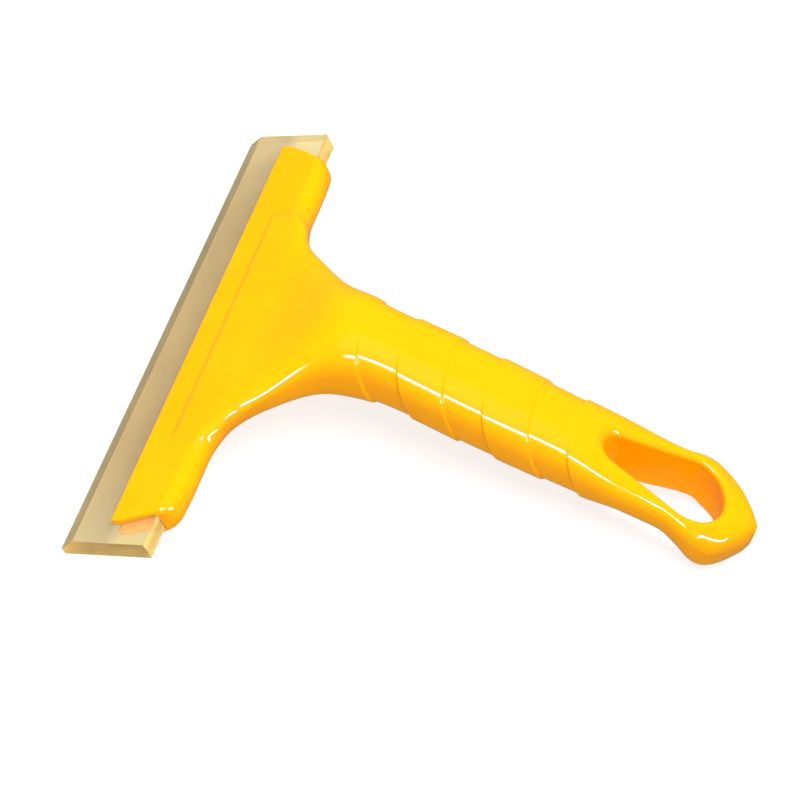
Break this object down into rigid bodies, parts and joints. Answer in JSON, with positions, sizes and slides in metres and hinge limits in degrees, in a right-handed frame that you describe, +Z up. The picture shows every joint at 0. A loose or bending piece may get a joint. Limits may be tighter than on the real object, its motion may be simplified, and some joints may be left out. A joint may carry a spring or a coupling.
{
  "type": "squeegee applicator",
  "caption": "Long-handled squeegee applicator with a replaceable clear flexible blade pushed into the slot of a moulded T handle, with a hang hole at its end.",
  "frame": {"origin": "middle of the footprint on the table, with the tool face up on its blade edge and its hang loop", "axes": "+X from the blade towards the hang loop, +Y along the blade, +Z up from the table"},
  "size_m": [0.1738, 0.15, 0.0405],
  "materials": {
    "handle_plastic": "glossy moulded yellow plastic",
    "blade_urethane": "clear amber cast urethane, smooth and slightly glossy"
  },
  "bodies": {
    "handle": {"handle": "handle_plastic"},
    "blade": {"blade": "blade_urethane"}
  },
  "joints": [
    {"name": "blade_slide", "type": "slide", "parent": "handle", "child": "blade", "axis": [0, 1, 0], "range_m": [-0.14, 0.14]}
  ]
}
